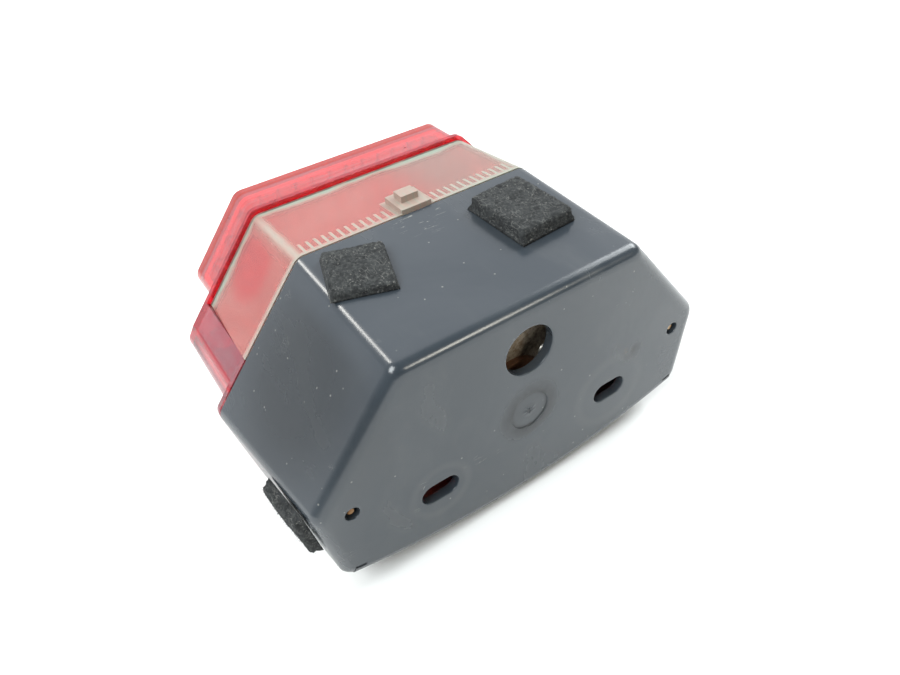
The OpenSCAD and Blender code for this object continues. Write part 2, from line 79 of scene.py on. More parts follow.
POST_R, POST_TIP_Y, PLATE_SCREW_R = 3, -6.5, 1.48
BOSS_R = 4
FIBRES = 260                                                # loose fibres on each pad


# ---- mesh helpers ---------------------------------------------------------------

def link(mesh, name):
    obj = bpy.data.objects.new(name, mesh)
    scene.collection.objects.link(obj)
    return obj


def from_bmesh(bm, name, sharp=35):
    """Makes an object from a bmesh in millimetres, smooth but for edges sharper than the angle."""
    bmesh.ops.recalc_face_normals(bm, faces=bm.faces)
    bmesh.ops.scale(bm, vec=(MM, MM, MM), verts=bm.verts)
    mesh = bpy.data.meshes.new(name)
    bm.to_mesh(mesh)
    bm.free()
    mesh.shade_smooth()
    mesh.set_sharp_from_angle(angle=math.radians(sharp))
    return link(mesh, name)


def apply_modifiers(obj):
    depsgraph = bpy.context.evaluated_depsgraph_get()
    mesh = bpy.data.meshes.new_from_object(obj.evaluated_get(depsgraph))
    obj.modifiers.clear()
    obj.data = mesh


def weighted_normals(obj):
    modifier = obj.modifiers.new("normals", "WEIGHTED_NORMAL")
    modifier.keep_sharp = True
    modifier.weight = 90
    apply_modifiers(obj)


def crown_z(low, x):
    """Height of the crowned bottom's arc, which runs between the lowest corners."""
    r = (low[0] ** 2 + CROWN ** 2) / (2 * CROWN)
    return low[1] - CROWN + r - math.sqrt(r * r - x * x)


def outline(corners, inset=0.0, radius=CORNER_R, arc=8, spans=(40, 26, 16), crown=56):
    """Closed ring of (x, z) round an outline given by its right-hand corners, rounded and stepped in.
    Every ring with the same counts has matching points, so rings can be skinned."""
    low = corners[-1]
    across = [low[0] * (1 - 2 * i / crown) for i in range(1, crown)]
    points = [Vector(c) for c in corners] + [Vector((x, crown_z(low, x))) for x in across]
    points += [Vector((-x, z)) for x, z in reversed(corners)]
    n, hard = len(points), len(corners)
    ring = []
    for i, p in enumerate(points):
        before, after = (p - points[i - 1]).normalized(), (points[(i + 1) % n] - p).normalized()
        n0, n1 = Vector((before.y, -before.x)), Vector((after.y, -after.x))
        mitre = (n0 + n1) / (1 + n0.dot(n1))
        if hard <= i < n - hard:
            ring.append([p + inset * mitre])
            continue
        centre = p + (inset + radius) * mitre
        angle = n0.angle_signed(n1)
        ring.append([centre - radius * (Matrix.Rotation(-angle * k / arc, 2) @ n0) for k in range(arc + 1)])
    closed = []
    for i, stretch in enumerate(ring):
        closed += stretch
        after = ring[(i + 1) % n]
        if i < hard - 1:
            count = spans[min(i + 1, len(spans) - 1)]
        elif i >= n - hard and i < n - 1:
            count = spans[min(n - 1 - i, len(spans) - 1)]
        elif i == n - 1:
            count = spans[0]
        else:
            count = 1
        closed += [stretch[-1].lerp(after[0], k / count) for k in range(1, count)]
    return closed


def lerp_corners(a, b, t):
    return [tuple(p + (q - p) * t for p, q in zip(c, d)) for c, d in zip(a, b)]


def add_ring(bm, ring, y):
    return [bm.verts.new((p[0], y, p[1])) for p in ring]


def skin(bm, rings):
    """Quads between rings of vertices; returns the last ring."""
    for a, b in zip(rings, rings[1:]):
        n = len(a)
        for i in range(n):
            bm.faces.new((a[i], a[(i + 1) % n], b[(i + 1) % n], b[i]))
    return rings[-1]


def fill(bm, loops):
    """Triangles over the flat region between an outer loop and the loops inside it."""
    edges = [bm.edges.get((loop[i - 1], loop[i])) or bm.edges.new((loop[i - 1], loop[i]))
             for loop in loops for i in range(len(loop))]
    bmesh.ops.triangle_fill(bm, edges=edges, use_beauty=True, normal=(0, 1, 0))


def circle(x, z, r, count=48):
    angles = [2 * math.pi * k / count for k in range(count)]
    return [(x + r * math.cos(a), z + r * math.sin(a)) for a in angles]


def stadium(x, z, half, r, count=24):
    """Slot outline: two half circles, half a slot's straight part away from its middle."""
    ring = []
    for side in (1, -1):
        first = -math.pi / 2 if side > 0 else math.pi / 2
        for k in range(count + 1):
            a = first + math.pi * k / count
            ring.append((x + side * half + r * math.cos(a), z + r * math.sin(a)))
    return ring


def soft_bore(bm, shape, y0, y1, soft=0.3, steps=4):
    """Hole through a wall from y0 down to y1 with softened rims; shape(grow) gives its ring.
    Returns the loops in both faces."""
    collar = soft + 0.35
    sweep = np.linspace(0, math.pi / 2, steps + 1)
    rings = [(y0, collar)]
    rings += [(y0 - soft * (1 - math.cos(a)), soft * (1 - math.sin(a))) for a in sweep]
    rings += [(y1 + soft * (1 - math.cos(a)), soft * (1 - math.sin(a))) for a in sweep[::-1]]
    rings += [(y1, collar)]
    made = [add_ring(bm, shape(grow), y) for y, grow in rings]
    skin(bm, made)
    return made[0], made[-1]


# ---- material helpers --------------------------------------------------------------

class Tree:
    """Short names for building a node material."""

    def __init__(self, name):
        self.material = bpy.data.materials.new(name)
        self.material.use_nodes = True
        self.nodes = self.material.node_tree.nodes
        self.links = self.material.node_tree.links
        self.shader = self.nodes["Principled BSDF"]
        self.place = self.node("ShaderNodeTexCoord").outputs["Object"]

    def node(self, kind, inputs=None, **settings):
        made = self.nodes.new(kind)
        for key, value in settings.items():
            setattr(made, key, value)
        for key, value in (inputs or {}).items():
            self.put(made.inputs[key], value)
        return made

    def put(self, socket, value):
        if isinstance(value, bpy.types.NodeSocket):
            self.links.new(value, socket)
        elif hasattr(value, "__len__") and len(value) == 3 and socket.type == "RGBA":
            socket.default_value = (*value, 1)
        else:
            socket.default_value = value

    def set(self, **sockets):
        for key, value in sockets.items():
            self.put(self.shader.inputs[key.replace("_", " ")], value)

    def math(self, how, a, b=0.0, c=0.0, clamp=False):
        made = self.node("ShaderNodeMath", operation=how, use_clamp=clamp)
        for socket, value in zip(made.inputs, (a, b, c)):
            self.put(socket, value)
        return made.outputs[0]

    def fold(self, how, values):
        made = values[0]
        for value in values[1:]:
            made = self.math(how, made, value)
        return made

    def times(self, *values):
        return self.fold("MULTIPLY", values)

    def plus(self, *values):
        return self.fold("ADD", values)

    def most(self, *values):
        return self.fold("MAXIMUM", values)

    def noise(self, scale, detail=3, rough=0.5, at=None, warp=0.0):
        return self.node("ShaderNodeTexNoise", {"Vector": at or self.place, "Scale": scale, "Detail": detail,
                                                "Roughness": rough, "Distortion": warp}).outputs["Fac"]

    def cracks(self, at):
        """Distance to the nearest border between random cells."""
        return self.node("ShaderNodeTexVoronoi", {"Vector": at, "Scale": 1.0},
                         feature="DISTANCE_TO_EDGE").outputs["Distance"]

    def stretched(self, scale, turn=(0, 0, 0)):
        return self.node("ShaderNodeMapping", {"Vector": self.place, "Scale": scale, "Rotation": turn}).outputs[0]

    def span(self, value, low, high, to=(0.0, 1.0)):
        """Smooth step from to[0] at low to to[1] at high."""
        limits = {"Value": value, "From Min": low, "From Max": high, "To Min": to[0], "To Max": to[1]}
        return self.node("ShaderNodeMapRange", limits, interpolation_type="SMOOTHSTEP").outputs[0]

    def fade(self, value, low, high, top=1.0):
        """Mask that falls from top at low to 0 at high."""
        return self.span(value, low, high, (top, 0.0))

    def band(self, value, low, high, soft=0.25):
        """Mask that is 1 between low and high."""
        return self.times(self.span(value, low - soft, low + soft), self.fade(value, high - soft, high + soft))

    def mix(self, factor, a, b):
        made = self.node("ShaderNodeMix", data_type="RGBA")
        for key, value in ((0, factor), (6, a), (7, b)):
            self.put(made.inputs[key], value)
        return made.outputs[2]

    def layers(self, base, *coats):
        """Lays coats, each a mask, its amount and a colour, over a base colour."""
        for mask, amount, colour in coats:
            base = self.mix(self.times(mask, amount), base, colour)
        return base

    def near(self, x, y, z):
        """Distance in metres from a point given in millimetres."""
        made = self.node("ShaderNodeVectorMath", {0: self.place}, operation="DISTANCE")
        made.inputs[1].default_value = (x * MM, y * MM, z * MM)
        return made.outputs["Value"]

    def spot(self, x, y, z, core, edge, top=1.0):
        """Round mask about a point in millimetres, full inside core and gone at edge, in metres."""
        return self.fade(self.near(x, y, z), core, edge, top)

    def bump(self, height, strength, distance):
        made = self.node("ShaderNodeBump", {"Height": height, "Strength": strength, "Distance": distance})
        self.set(Normal=made.outputs[0])

    def scratches(self, scale, turn, keep, width=0.02):
        """Thin straight scratches along one direction, kept only in patches."""
        fine = scale * 14
        lines = self.cracks(self.stretched((scale, fine, fine), turn))
        patch = self.span(self.noise(scale * 1.6, 1), keep, keep + 0.06)
        return self.times(self.fade(lines, 0.0, width), patch)


def dust(tree, scale, amount):
    """Scattered specks: the middles of a few of many small cells."""
    colour = tree.node("ShaderNodeTexVoronoi", {"Vector": tree.place, "Scale": scale})
    chosen = tree.node("ShaderNodeSeparateColor", {0: colour.outputs["Color"]}).outputs[0]
    few = tree.math("GREATER_THAN", chosen, 1 - amount)
    return tree.times(few, tree.fade(colour.outputs["Distance"], 0.1, 0.3))


def along(tree, axis):
    """Object coordinate in millimetres along one axis."""
    split = tree.node("ShaderNodeSeparateXYZ", {0: tree.place})
    return tree.times(split.outputs[axis], 1 / MM)


def case_plastic():
    t = Tree("black_case_plastic")
    cloud = t.noise(28, 4, 0.55, warp=0.6)
    smear = t.noise(75, 5, 0.6, at=t.stretched((1, 0.35, 0.6), (0.3, 0.1, 0.5)), warp=0.4)
    lines = t.most(t.scratches(70, (0.3, 0.5, 0.4), 0.70, 0.012), t.scratches(110, (1.2, 0.3, 2.2), 0.72, 0.015))
    # rubbed white where the window's catch has scraped the rim
    streaks = t.noise(1, 5, 0.7, at=t.stretched((260, 1400, 900), (0, 0, 0.25)), warp=0.5)
    scraped = t.times(t.spot(1.5, -38.5, 42.5, 0.0040, 0.0085, 0.7), t.span(streaks, 0.60, 0.66))
    worn = t.most(t.times(dust(t, 1000, 0.016), 0.6), scraped, t.times(lines, 0.7))
    # pale rings round the two slots, where washers have sat
    halos = []
    for x, wide in ((SLOT_X, 0.9), (-SLOT_X, 1.25)):
        ring = t.near(x, 0, 0)
        halos.append(t.times(t.span(ring, 0.0062 * wide, 0.0078 * wide),
                             t.fade(ring, 0.0080 * wide, 0.0100 * wide)))
    # dark flow marks round the moulding gate, a smudge with a brown speck, and painted shade darkening a patch of
    # the left face
    gate = t.near(GATE[0], 0, GATE[1])
    shade = t.times(t.span(gate, 0.0040, 0.0050, (0.35, 1.0)), t.fade(gate, 0.0052, 0.0098),
                    t.span(t.noise(260, 3, 0.6), 0.3, 0.6, (0.55, 1.0)))
    smudge = t.times(t.spot(-32, 0, 8.5, 0.0005, 0.0040), t.span(smear, 0.42, 0.56))
    speck = t.times(t.spot(-29.5, 0, 10.4, 0.0003, 0.0011), t.span(t.noise(900, 2), 0.4, 0.6))
    # painted shade: a darker patch on the case's left face
    left_face_shade = t.times(t.spot(42, -22, 26, 0.008, 0.030), t.span(along(t, "X"), 32, 36))
    base = t.layers(t.mix(t.span(cloud, 0.3, 0.7), (0.033, 0.042, 0.052), (0.043, 0.052, 0.062)),
                    (t.span(smear, 0.45, 0.8), 0.4, (0.072, 0.079, 0.084)),
                    (t.most(*halos), 0.22, (0.085, 0.09, 0.095)),
                    (shade, 0.75, (0.010, 0.011, 0.012)),
                    (left_face_shade, 0.75, (0.012, 0.016, 0.019)),
                    (smudge, 0.75, (0.020, 0.021, 0.022)),
                    (speck, 0.8, (0.11, 0.075, 0.045)),
                    (worn, 0.6, (0.42, 0.42, 0.38)))
    rough = t.plus(t.span(cloud, 0.25, 0.75, (0.20, 0.26)), t.times(t.span(smear, 0.5, 0.7), 0.07),
                   t.times(t.plus(shade, smudge), 0.22))
    t.set(Base_Color=base, Roughness=rough, Specular_IOR_Level=0.62)
    grain = t.plus(t.times(t.noise(700, 3, 0.6), 0.22), t.times(lines, -0.4), t.times(t.noise(60, 2), 0.9))
    t.bump(grain, 0.3, 0.00014)
    return t.material


def pillows(tree):
    """Height of the pillow optics, from 0 in their grooves to 1."""
    turns = [tree.times(along(tree, axis), math.pi / OPTICS_PITCH) for axis in "XZ"]
    waves = [tree.math("ABSOLUTE", tree.math("SINE", turn)) for turn in turns]
    return tree.span(tree.times(*waves), 0.02, 0.6)


def red_plastic():
    t = Tree("red_lens_plastic")
    x, depth, z = (along(t, axis) for axis in "XYZ")
    side = t.math("ABSOLUTE", x)
    haze, mottle = t.noise(60, 4, 0.6, warp=0.4), t.noise(170, 4, 0.65, warp=1.0)
    streaks = t.noise(1, 4, 0.6, at=t.stretched((40, 1300, 60)), warp=0.3)
    specks = dust(t, 500, 0.03)
    body = t.band(depth, -69.6, -41.0)
    # the narrow facet under the window's side, with painted shade darkening it towards its ledge end, a painted
    # highlight along the crease below it, a line above
    # painted shade: the facet darkens towards the ledge at the raised front
    facet_shade = t.math("ADD", t.span(depth, -69.0, -56.0), t.times(t.math("SUBTRACT", mottle, 0.5), 0.8), clamp=True)
    facet = t.mix(facet_shade, (0.22, 0.07, 0.10), (0.74, 0.36, 0.40))
    # painted highlight: a pale line along the crease below the facet
    crease_highlight = t.times(t.band(z, 13.0, 13.4, 0.25), body, t.span(side, 51, 52))
    # the raised front's side with pale streaks, and the ledge round it
    wall = t.mix(t.span(streaks, 0.40, 0.62), (1.0, 0.17, 0.18), (0.94, 0.30, 0.33))
    ledge = t.mix(t.span(mottle, 0.35, 0.6), (0.93, 0.06, 0.10), (0.70, 0.03, 0.06))
    base = t.layers(t.mix(t.span(mottle, 0.35, 0.7), (0.60, 0.13, 0.19), (0.58, 0.25, 0.30)),
                    (t.times(t.band(z, 13.4, 16.9, 0.2), body), 1.0, facet),
                    (crease_highlight, 0.8, (0.90, 0.66, 0.66)),
                    (t.times(t.band(z, 16.0, 17.2, 0.2), body), 1.0, (0.62, 0.04, 0.08)),
                    (t.band(depth, -79.4, -71.0, 0.4), 1.0, wall),
                    (t.band(depth, -83.0, -79.9), 1.0, (1.0, 0.14, 0.12)),
                    # painted light: the saturated orange line that refraction at the front wall's inner corner shows
                    (t.band(depth, -80.5, -79.5, 0.15), 1.0, (1.0, 0.055, 0.03)),
                    (t.band(depth, -71.2, -66.8), 1.0, ledge),
                    (specks, 0.7, (0.30, 0.02, 0.03)))
    for place, r in (((53.4, -68.9, 16.4), 0.0007), ((53.4, -61.5, 16.6), 0.0006), ((54.2, -66.0, 9.0), 0.0004)):
        base = t.mix(t.spot(*place, r * 0.5, r, 0.9), base, (0.03, 0.005, 0.01))
    # the front is painted with the pillows behind it, with painted shade in their grooves
    facing = t.node("ShaderNodeSeparateXYZ", {0: t.place.node.outputs["Normal"]}).outputs["Y"]
    front = t.times(t.fade(facing, -0.92, -0.6), t.fade(depth, -69.0, -66.0))
    crest = t.mix(t.span(haze, 0.3, 0.7), (0.97, 0.07, 0.06), (1.0, 0.12, 0.10))
    base = t.mix(front, base, t.mix(pillows(t), (0.42, 0.008, 0.010), crest))
    t.set(Base_Color=base, IOR=PLASTIC_IOR, Transmission_Weight=t.span(front, 0.0, 1.0, (0.72, 0.80)),
          Roughness=t.plus(t.span(haze, 0.3, 0.7, (0.03, 0.07)), t.times(specks, 0.4)))
    absorb = t.node("ShaderNodeVolumeAbsorption", {"Color": (0.95, 0.06, 0.08), "Density": 720})
    t.links.new(absorb.outputs[0], t.nodes["Material Output"].inputs["Volume"])
    t.bump(t.plus(t.noise(130, 2), t.times(specks, 0.3)), 0.08, 0.0001)
    return t.material


def window_plastic():
    t = Tree("clear_window_plastic")
    haze, cloud = t.noise(45, 4, 0.6, warp=0.5), t.noise(130, 4, 0.6, warp=0.8)
    x, y, z = (along(t, axis) for axis in "XYZ")
    side = t.math("ABSOLUTE", x)
    ragged = t.times(t.math("SUBTRACT", t.noise(55, 3, 0.6, warp=0.6), 0.5), 5.0)
    # frosted seams: along the ledge, the rim, the ridge between top and side, and the tapered ends
    ledge = t.fade(t.plus(y, ragged), -67.4, -64.4)
    rim = t.times(t.span(y, -43.8, -41.8), 0.8)
    off_ridge = t.math("ABSOLUTE", t.math("SUBTRACT", side, 30.4))
    ridge = t.fade(t.plus(off_ridge, t.times(ragged, 0.3)), 0.2, 2.2, 0.75)
    foot = t.fade(t.plus(z, ragged), 16.8, 20.5, 0.8)
    seam = t.times(t.most(ledge, rim, ridge, foot), t.span(cloud, 0.25, 0.55, (0.7, 1.0)))
    # the rib row and the catch
    pitch = t.math("ABSOLUTE", t.math("SUBTRACT", t.math("FRACT", t.math("DIVIDE", side, 1.95)), 0.5))
    ribs = t.times(t.fade(pitch, 0.10, 0.26), t.span(y, -47.2, -45.8), t.fade(side, 28.5, 30.0))
    catch = t.times(t.fade(side, 5.0, 5.8), t.span(y, -50.6, -50.0))
    frost = t.most(seam, t.times(ribs, 0.8), t.times(catch, 0.7))
    # painted light: the red light from inside the lens that shows through the clear window, salmon in the middle,
    # paler to the right, redder in a patch on the sides
    deep_red_glow = t.times(t.span(side, 32.0, 34.0), t.spot(37, -58, 34, 0.006, 0.011))
    red_glow = t.layers(t.mix(t.span(haze, 0.3, 0.7), (0.78, 0.21, 0.18), (0.80, 0.30, 0.26)),
                      (t.fade(t.plus(x, ragged), -16, 2, 0.75), 1.0, (0.56, 0.40, 0.34)),
                      (deep_red_glow, 0.8, (0.84, 0.11, 0.11)))
    # painted light: the red ledge showing through the front edge; and a dark, mottled line at the gap there
    gap = t.times(t.span(y, -68.7, -68.3), t.fade(y, -67.7, -67.3), t.span(cloud, 0.3, 0.6, (0.35, 0.9)))
    base = t.layers(t.mix(frost, red_glow, (0.34, 0.42, 0.35)),
                    (t.fade(y, -68.6, -68.2), 1.0, (0.80, 0.04, 0.07)),
                    (gap, 1.0, (0.14, 0.09, 0.08)),
                    (dust(t, 600, 0.03), 0.7, (0.6, 0.58, 0.52)))
    t.set(Base_Color=base, IOR=PLASTIC_IOR, Transmission_Weight=t.span(frost, 0.0, 1.0, (0.68, 0.22)),
          Roughness=t.plus(t.span(haze, 0.3, 0.7, (0.14, 0.24)), t.times(frost, 0.3)))
    t.bump(t.plus(t.noise(120, 2), t.times(ribs, 1.5)), 0.05, 0.0001)
    return t.material


def optics_plastic():
    """Red acrylic, with painted shade deepening it in the grooves between the pillows."""
    t = Tree("red_optics")
    dome = pillows(t)
    haze = t.noise(120, 3)
    crest = t.mix(t.span(haze, 0.35, 0.65), (1.0, 0.52, 0.46), (1.0, 0.44, 0.38))
    # painted shade: darker red in the grooves between the pillows
    t.set(Base_Color=t.mix(dome, (0.30, 0.01, 0.01), crest),
          Roughness=t.span(haze, 0.3, 0.7, (0.04, 0.10)), Transmission_Weight=0.3, IOR=PLASTIC_IOR)
    t.bump(dome, 0.5, 0.0006)
    return t.material


def simple(name, base, rough, metal=0.0, second=None, scale=300, bump=0.2, **more):
    """A two-tone material with fine grain, for the small parts."""
    t = Tree(name)
    cloud = t.noise(scale, 5, 0.65, warp=0.3)
    t.set(Base_Color=t.mix(t.span(cloud, 0.35, 0.65), base, second or tuple(c * 0.7 for c in base)),
          Roughness=t.span(cloud, 0.3, 0.7, (rough, min(1.0, rough + 0.15))), Metallic=metal, **more)
    t.bump(t.noise(scale * 3, 3, 0.6), bump, 0.00008)
    return t.material


# ---- case -------------------------------------------------------------------------

def build_case():
    """The housing, skinned from the back face round the rim to the inside of the back wall."""
    bm = bmesh.new()
    quarter = np.linspace(0, math.pi / 2, 9)
    soft = 0.35
    steps = 12
    inner_r = CORNER_R - 1
    back_face = add_ring(bm, outline(CASE_BACK, EDGE_R + 0.5), 0)
    rings = [back_face]
    for a in quarter:
        rings.append(add_ring(bm, outline(CASE_BACK, EDGE_R * (1 - math.sin(a))), -EDGE_R * (1 - math.cos(a))))
    for k in range(1, steps + 1):
        y = -EDGE_R + (-CASE_DEPTH + soft + EDGE_R) * k / steps
        t = (y + EDGE_R) / (-CASE_DEPTH + EDGE_R)
        rings.append(add_ring(bm, outline(lerp_corners(CASE_BACK, CASE_RIM, t)), y))
    for a in quarter[::2][1:]:
        y = -CASE_DEPTH + soft * (1 - math.sin(a))
        rings.append(add_ring(bm, outline(CASE_RIM, soft * (1 - math.cos(a))), y))
    rings.append(add_ring(bm, outline(CASE_RIM, RIM_WALL - 0.15, inner_r), -CASE_DEPTH))
    rings.append(add_ring(bm, outline(CASE_RIM, RIM_WALL, inner_r), -CASE_DEPTH + 0.15))
    seat = lerp_corners(CASE_BACK, CASE_RIM, -SEAT_Y / CASE_DEPTH)
    rings.append(add_ring(bm, outline(seat, RIM_WALL, inner_r), SEAT_Y))
    rings.append(add_ring(bm, outline(seat, WALL - 0.1, inner_r), SEAT_Y))
    rings.append(add_ring(bm, outline(seat, WALL, inner_r), SEAT_Y + 0.1))
    for y in (-30, -20, -10, -WALL - 0.4):
        corners = lerp_corners(CASE_BACK, CASE_RIM, -y / CASE_DEPTH)
        rings.append(add_ring(bm, outline(corners, WALL, inner_r), y))
    floor = lerp_corners(CASE_BACK, CASE_RIM, WALL / CASE_DEPTH)
    inner_face = add_ring(bm, outline(floor, WALL + 0.4, inner_r), -WALL)
    rings.append(inner_face)
    skin(bm, rings)

    outer, inner = [back_face], [inner_face]
    holes = [lambda g, x=x: stadium(x, 0, SLOT_HALF, SLOT_R + g) for x in (SLOT_X, -SLOT_X)]
    holes.append(lambda g: circle(CABLE[0], CABLE[1], CABLE[2] + g, 72))
    for shape in holes:
        a, b = soft_bore(bm, shape, 0, -WALL)
        outer.append(a)
        inner.append(b)
    for s in (1, -1):
        a, b = soft_bore(bm, lambda g, s=s: circle(s * SCREW[0], SCREW[1], SCREW_HOLE_R + g, 32), 0, -WALL, 0.2)
        outer.append(a)
        inner.append(b)

    # the moulding gate: a shallow disc with a torn star-shaped nub
    dip = [(0.6, 0), (0.2, 0), (0.05, -0.06), (0, -0.2), (-0.12, -GATE_DEPTH), (-0.5, -GATE_DEPTH)]
    disc = [add_ring(bm, circle(*GATE[:2], GATE[2] + g, 64), y) for g, y in dip]
    outer.append(disc[0])
    skin(bm, disc)

    points = 40

    def star(r, rise, jag):
        ring = []
        for k in range(points):
            a = 2 * math.pi * k / points
            q = r * (1 + jag * math.cos(5 * a + 0.4) + 0.5 * jag * math.cos(9 * a))
            y = rise + 0.05 * math.cos(7 * a)
            ring.append(bm.verts.new((GATE[0] + q * math.cos(a), y, GATE[1] + q * math.sin(a))))
        return ring

    foot = add_ring(bm, circle(*GATE[:2], 2.3, points), -GATE_DEPTH)
    tip = skin(bm, [foot, add_ring(bm, circle(*GATE[:2], 1.9, points), -0.27), star(1.15, -0.14, 0.16),
                    star(0.8, -0.06, 0.24), star(0.5, -0.22, 0.3), star(0.2, -GATE_DEPTH, 0.2)])
    bm.faces.new(tip)
    fill(bm, [disc[-1], foot])
    fill(bm, outer)
    fill(bm, inner)

    # screw bosses with their outward ribs, and the posts of the carrier plate
    def boss(x, z, y0, y1, r, bore):
        shape = [(r, y0), (r, y1 + 0.25), (r - 0.25, y1), (bore + 0.25, y1), (bore, y1 + 0.25), (bore, y0)]
        tube = [add_ring(bm, circle(x, z, q, 32), y) for q, y in shape]
        skin(bm, tube + tube[:1])

    for s in (1, -1):
        boss(s * SCREW[0], SCREW[1], -WALL + 0.05, -CASE_DEPTH, BOSS_R, SCREW_HOLE_R)
        for x, z in PLATE_POSTS:
            boss(s * x, z, -WALL + 0.05, POST_TIP_Y, POST_R, PLATE_SCREW_R)
        rib = bmesh.ops.create_cube(bm, size=1)["verts"]
        bmesh.ops.scale(bm, vec=(4.6, -SEAT_Y - 2.6, 1.9), verts=rib)
        bmesh.ops.translate(bm, vec=(s * (SCREW[0] + 5.9), (SEAT_Y - 2.4) / 2, SCREW[1]), verts=rib)
    case = from_bmesh(bm, "case_shell", 32)
    weighted_normals(case)
    return case


# ---- pieces that keep the CAD shape, with softened edges -------------------------------

def softened(node, name, width, sharp=28, segments=3):
    """Copy of a CAD node's mesh with its flat faces joined and its edges rounded."""
    mesh = frame["nodes"][node].data.copy()
    mesh.materials.clear()
    bm = bmesh.new()
    bm.from_mesh(mesh)
    merge, flat = 2e-6, math.radians(0.6)
    bmesh.ops.remove_doubles(bm, verts=bm.verts, dist=merge)
    bmesh.ops.dissolve_limit(bm, angle_limit=flat, verts=bm.verts, edges=bm.edges)
    # the bevel would close over the ring-shaped face at the lens's back, so that face is split first
    bmesh.ops.triangulate(bm, faces=[f for f in bm.faces if len(f.verts) > 4
                                     and abs(f.calc_center_median().y - LENS_BACK_Y * MM) < 1e-5])
    bm.to_mesh(mesh)
    bm.free()
    obj = link(mesh, name)
    bevel = obj.modifiers.new("bevel", "BEVEL")
    bevel.width = width * MM
    bevel.segments = segments
    bevel.limit_method = "ANGLE"
    bevel.angle_limit = math.radians(sharp)
    bevel.use_clamp_overlap = True
    bevel.miter_outer = "MITER_ARC"
    apply_modifiers(obj)
    obj.data.shade_smooth()
    obj.data.set_sharp_from_angle(angle=math.radians(40))
    weighted_normals(obj)
    return obj


def dress(obj, body, slot, material, *nodes):
    """Hands a finished piece to its body and the CAD nodes it stands for; its slot is not used."""
    obj.data.materials.clear()
    obj.data.materials.append(material)
    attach(obj, body)
    if nodes:
        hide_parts(*nodes)
    return obj


def build_optics():
    """Pillow optics moulded on the inside of the lens front: a thin plate of small domes."""
    fine, face = 8, FRONT_Y + LENS_THICK
    step = OPTICS_PITCH / fine
    bm = bmesh.new()
    us = [k * step for k in range(round(-48 / step), round(48 / step) + 1)]
    vs = [k * step for k in range(round(-12 / step), round(44 / step) + 1)]

    def height(u, v):
        wave = math.sin(math.pi * u / OPTICS_PITCH) * math.sin(math.pi * v / OPTICS_PITCH)
        return OPTICS_RISE * abs(wave) ** 0.6

    rows = [[bm.verts.new((u, face + height(u, v), v)) for u in us] for v in vs]
    for lower, upper in zip(rows, rows[1:]):
        for k in range(len(us) - 1):
            bm.faces.new((lower[k], lower[k + 1], upper[k + 1], upper[k]))
    # trimmed to the raised front's outline
    ring = outline(RAISED, 3.2, 1.5, 1, (1, 1, 1), 8)
    for i, point in enumerate(ring):
        side = Vector(point) - Vector(ring[i - 1])
        if side.length > 0.2:
            bmesh.ops.bisect_plane(bm, geom=bm.verts[:] + bm.edges[:] + bm.faces[:], clear_inner=True,
                                   plane_co=(point[0], 0, point[1]), plane_no=(side.y, 0, -side.x))
    made = bmesh.ops.extrude_face_region(bm, geom=bm.faces[:], use_keep_orig=True)["geom"]
    for vert in made:
        if isinstance(vert, bmesh.types.BMVert):
            vert.co.y = face - 0.1
    return from_bmesh(bm, "lens_optics", 30)


dress(build_case(), "case", "black_case_plastic", case_plastic(), "housing")
dress(softened("lens", "lens_shell", 0.3), "lens_unit", "red_lens_plastic", red_plastic(), "lens")
dress(softened("plate_window", "window_shell", 0.25), "lens_unit", "clear_window_plastic", window_plastic(),
      "plate_window")
dress(build_optics(), "lens_unit", "red_lens_plastic", optics_plastic())


# ---- foam pads ------------------------------------------------------------------------

def foam():
    t = Tree("black_foam")
    coarse, fine, grit = t.noise(380, 6, 0.75, warp=0.8), t.noise(1300, 4, 0.7), t.noise(2600, 2, 0.6)
    fibre = t.cracks(t.stretched((1100, 420, 1100), (0.3, 0.2, 0.7)))
    strand = t.times(t.fade(fibre, 0.0, 0.06), t.span(t.noise(420, 2), 0.48, 0.60))
    patches = t.span(t.noise(230, 3, 0.6), 0.42, 0.62)
    base = t.layers(t.mix(t.span(coarse, 0.3, 0.7), (0.009, 0.010, 0.011), (0.036, 0.039, 0.040)),
                    (t.span(fine, 0.45, 0.72), 1.0, (0.066, 0.070, 0.068)),
                    (strand, 0.5, (0.20, 0.20, 0.19)),
                    (t.times(t.span(grit, 0.62, 0.74), patches), 0.8, (0.34, 0.33, 0.30)))
    t.set(Base_Color=base, Roughness=0.95)
    t.bump(t.plus(t.times(coarse, 0.6), t.times(fine, 0.8)), 1.0, 0.0005)
    return t.material


def pad_frame(node):
    """Centre of a pad's glued face, half its two flat sides and its outward side, in millimetres."""
    points = np.unique(np.round([v.co / MM for v in frame["nodes"][node].data.vertices], 3), axis=0)
    edges = sorted((points[1:] - points[0]), key=np.linalg.norm)
    out, short = edges[0], edges[1]
    long = next(e for e in edges[2:] if abs(e @ out) < 0.1 and abs(e @ short) < 0.1)
    centre = points.mean(0)
    inside = np.array([0, -20, 10])
    if out @ (centre - inside) < 0:
        out = -out
    return centre - out / 2, long / 2, short / 2, out


